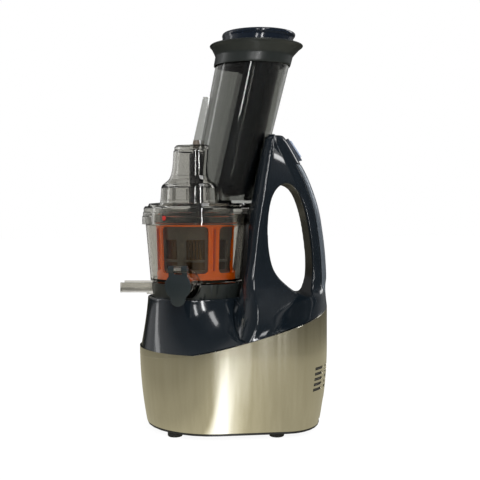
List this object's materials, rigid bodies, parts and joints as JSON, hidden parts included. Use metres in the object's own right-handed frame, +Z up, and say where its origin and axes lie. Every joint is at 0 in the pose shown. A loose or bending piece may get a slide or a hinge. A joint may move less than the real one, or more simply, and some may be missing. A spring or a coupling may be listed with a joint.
{
  "type": "cold press juicer",
  "caption": "Upright slow juicer with a leaning feed tube, clear bowl with strainer and wiper over a geared drive, loop handle, juice spout and pulp chute.",
  "frame": {"origin": "in the plane of the feet on the counter, under the middle of the whole: half-way between the chute's end and the back of the handle", "axes": "+Z up, parallel to the drive axis, -Y towards the pulp chute's side at the front, +Y towards the handle, +X towards the juice spout's side"},
  "size_m": [0.174, 0.2334, 0.4406],
  "materials": {
    "steel": "brushed upright, warm tone",
    "housing": "high gloss",
    "black_plastic": "matt",
    "dark_plastic": "satin",
    "auger_plastic": "satin gloss",
    "rubber": "matt",
    "zinc": "zinc plated",
    "silver_trim": "silver-grey lacquer",
    "rocker": "gloss, pale blue-grey",
    "laminations": "stacked sheet",
    "die_cast": "die cast",
    "shaft_steel": "ground",
    "circuit_board": "coated laminate",
    "cream_plastic": "satin",
    "smoky_clear": "clear moulded plastic, smoky tint",
    "silicone": "milky silicone",
    "grey_plastic": "satin",
    "sieve_steel": "etched sheet, brownish",
    "white_nylon": "self-lubricating nylon",
    "orange_plastic": "translucent gloss",
    "orange_silicone": "silicone",
    "bush_plastic": "satin"
  },
  "bodies": {
    "base": {"steel_skirt": "steel", "pedestal": "housing", "housing_left": "housing", "housing_right": "housing", "base_plate": "black_plastic", "rubber_feet": "rubber", "base_screws": "zinc", "handle_trim": "silver_trim", "switch_bezel": "housing", "cord_inlet": "black_plastic", "motor_stator": "laminations", "motor_lower_bracket": "die_cast", "motor_upper_bracket": "die_cast", "motor_bolts": "zinc", "gearbox_case": "die_cast", "shaft_bearing": "shaft_steel", "control_board": "circuit_board", "run_capacitor": "cream_plastic"},
    "rocker": {"rocker_switch": "rocker"},
    "rotor": {"motor_rotor": "laminations", "cooling_fan": "black_plastic"},
    "drive": {"drive_shaft": "shaft_steel"},
    "bowl": {"juice_bowl": "smoky_clear", "juice_spout": "smoky_clear", "bowl_base": "dark_plastic", "pulp_chute": "smoky_clear", "hub_seal": "silicone", "strainer_frame": "grey_plastic", "strainer_mesh": "sieve_steel", "idler_pins": "shaft_steel"},
    "idler_a": {"idler_gear_a": "white_nylon"},
    "idler_b": {"idler_gear_b": "white_nylon"},
    "press": {"auger": "auger_plastic", "auger_socket": "shaft_steel"},
    "wiper": {"wiper_frame": "orange_plastic", "wiper_blades": "orange_silicone"},
    "cap": {"spout_cap": "dark_plastic", "cap_seal": "silicone", "cap_pin": "shaft_steel"},
    "lid": {"bowl_lid": "smoky_clear", "feed_tube": "smoky_clear", "lid_bush": "bush_plastic", "hopper_collar": "dark_plastic"},
    "plunger": {"pusher": "auger_plastic"}
  },
  "joints": [
    {"name": "rotor_spin", "type": "hinge", "parent": "base", "child": "rotor", "pos_m": [0, -0.03188, 0.045], "axis": [0, 0, 1], "continuous": true},
    {"name": "drive_spin", "type": "hinge", "parent": "base", "child": "drive", "pos_m": [0, -0.03188, 0.132], "axis": [0, 0, 1], "continuous": true},
    {"name": "auger_spin", "type": "hinge", "parent": "bowl", "child": "press", "pos_m": [0, -0.03188, 0.188], "axis": [0, 0, 1], "continuous": true},
    {"name": "wiper_spin", "type": "hinge", "parent": "bowl", "child": "wiper", "pos_m": [0, -0.03188, 0.168], "axis": [0, 0, 1], "continuous": true},
    {"name": "idler_a_spin", "type": "hinge", "parent": "bowl", "child": "idler_a", "pos_m": [0.02524, -0.03633, 0.166], "axis": [0, 0, 1], "continuous": true},
    {"name": "idler_b_spin", "type": "hinge", "parent": "bowl", "child": "idler_b", "pos_m": [-0.02524, -0.02743, 0.166], "axis": [0, 0, 1], "continuous": true},
    {"name": "cap_hinge", "type": "hinge", "parent": "bowl", "child": "cap", "pos_m": [0.07432, -0.05747, 0.1788], "axis": [-0.3256, -0.9455, 0], "range_deg": [0, 95]},
    {"name": "rocker_tilt", "type": "hinge", "parent": "base", "child": "rocker", "pos_m": [0, 0.07546, 0.30622], "axis": [1, 0, 0], "range_deg": [-8, 8]},
    {"name": "pusher_slide", "type": "slide", "parent": "lid", "child": "plunger", "axis": [0, 0.2164, 0.9763], "range_m": [0, 0.19]},
    {"name": "lid_lift", "type": "slide", "parent": "bowl", "child": "lid", "axis": [0, 0, 1], "range_m": [0, 0.11]},
    {"name": "bowl_lift", "type": "slide", "parent": "base", "child": "bowl", "axis": [0, 0, 1], "range_m": [0, 0.1]}
  ],
  "couplings": [
    {"joint": "drive_spin", "follows": "rotor_spin", "ratio": 0.04},
    {"joint": "auger_spin", "follows": "rotor_spin", "ratio": 0.04},
    {"joint": "wiper_spin", "follows": "rotor_spin", "ratio": -0.016552},
    {"joint": "idler_a_spin", "follows": "rotor_spin", "ratio": -0.056471},
    {"joint": "idler_b_spin", "follows": "rotor_spin", "ratio": -0.056471}
  ]
}
